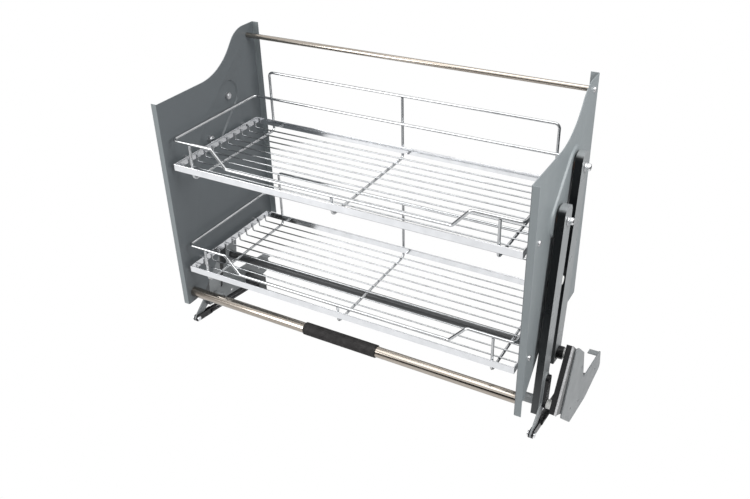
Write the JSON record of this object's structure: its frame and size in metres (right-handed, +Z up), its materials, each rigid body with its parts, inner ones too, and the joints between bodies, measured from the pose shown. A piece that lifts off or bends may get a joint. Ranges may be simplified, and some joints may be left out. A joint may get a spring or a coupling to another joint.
{
  "type": "pull-down cabinet basket",
  "caption": "Pull-down wall cabinet basket: wire shelves between sheet side panels, on spring-assisted parallelogram arms with side brackets and a handle bar.",
  "frame": {"origin": "midway between the side panels, in their front plane, level with their lower edge", "axes": "+X to the user's right along the handle, +Y into the cabinet, +Z up"},
  "size_m": [0.76, 0.3167, 0.5854],
  "materials": {
    "panel_paint": "satin cool grey",
    "arm_paint": "satin grey",
    "dark_paint": "satin dark grey",
    "black_enamel": "gloss black",
    "chrome_plate": "bright",
    "bright_steel": "polished",
    "white_plastic": "satin white",
    "foam": "matt black-brown"
  },
  "bodies": {
    "brackets": {"left_outer_plate": "arm_paint", "left_channel": "black_enamel", "left_edge_trim": "bright_steel", "left_anchor_block": "dark_paint", "left_pivot_bushes": "white_plastic", "left_pivot_pins": "bright_steel", "right_outer_plate": "arm_paint", "right_channel": "black_enamel", "right_edge_trim": "bright_steel", "right_anchor_block": "dark_paint", "right_pivot_bushes": "white_plastic", "right_pivot_pins": "bright_steel"},
    "front_arms": {"left_front_arm": "arm_paint", "left_lever": "arm_paint", "left_lever_boss": "black_enamel", "left_stop_sleeve": "arm_paint", "left_link_pin": "chrome_plate", "right_front_arm": "arm_paint", "right_lever": "arm_paint", "right_lever_boss": "black_enamel", "right_stop_sleeve": "arm_paint", "right_link_pin": "chrome_plate"},
    "rear_arms": {"left_rear_arm": "arm_paint", "left_collar": "black_enamel", "right_rear_arm": "arm_paint", "right_collar": "black_enamel", "sync_tube": "arm_paint"},
    "left_strut": {"left_strut_fork": "black_enamel", "left_guide_rod": "chrome_plate", "left_spring": "black_enamel"},
    "right_strut": {"right_strut_fork": "black_enamel", "right_guide_rod": "chrome_plate", "right_spring": "black_enamel"},
    "basket": {"handle_grip": "foam", "handle_screws": "bright_steel", "handle_tube": "bright_steel", "left_side_panel": "panel_paint", "lower_back_rail": "chrome_plate", "lower_cross_wires": "chrome_plate", "lower_guard_rail": "chrome_plate", "lower_shelf_frame": "chrome_plate", "lower_shelf_wires": "chrome_plate", "pivot_bolts": "chrome_plate", "pivot_nuts": "bright_steel", "pivot_washers": "bright_steel", "right_side_panel": "panel_paint", "rod_screws": "bright_steel", "shelf_screws": "bright_steel", "shelf_spacers": "bright_steel", "top_rod": "bright_steel", "upper_back_rail": "chrome_plate", "upper_cross_wires": "chrome_plate", "upper_guard_rail": "chrome_plate", "upper_shelf_frame": "chrome_plate", "upper_shelf_wires": "chrome_plate"}
  },
  "joints": [
    {"name": "lift", "type": "hinge", "parent": "brackets", "child": "front_arms", "pos_m": [0, 0.0817, -0.029], "axis": [1, 0, 0], "range_deg": [0, 95]},
    {"name": "rear_swing", "type": "hinge", "parent": "brackets", "child": "rear_arms", "pos_m": [0, 0.1432, 0.0325], "axis": [1, 0, 0], "range_deg": [0, 95]},
    {"name": "basket_level", "type": "hinge", "parent": "front_arms", "child": "basket", "pos_m": [0, 0.12114, 0.29219], "axis": [1, 0, 0], "range_deg": [-95, 0]},
    {"name": "left_strut_swing", "type": "hinge", "parent": "front_arms", "child": "left_strut", "pos_m": [0, 0.035, -0.0604], "axis": [1, 0, 0], "range_deg": [-95.5, 0], "deforming": ["left_spring"]},
    {"name": "right_strut_swing", "type": "hinge", "parent": "front_arms", "child": "right_strut", "pos_m": [0, 0.035, -0.0604], "axis": [1, 0, 0], "range_deg": [-95.5, 0], "deforming": ["right_spring"]}
  ],
  "couplings": [
    {"joint": "rear_swing", "follows": "lift", "ratio": 1},
    {"joint": "basket_level", "follows": "lift", "ratio": -1},
    {"joint": "left_strut_swing", "follows": "lift", "ratio": -1},
    {"joint": "right_strut_swing", "follows": "lift", "ratio": -1}
  ]
}
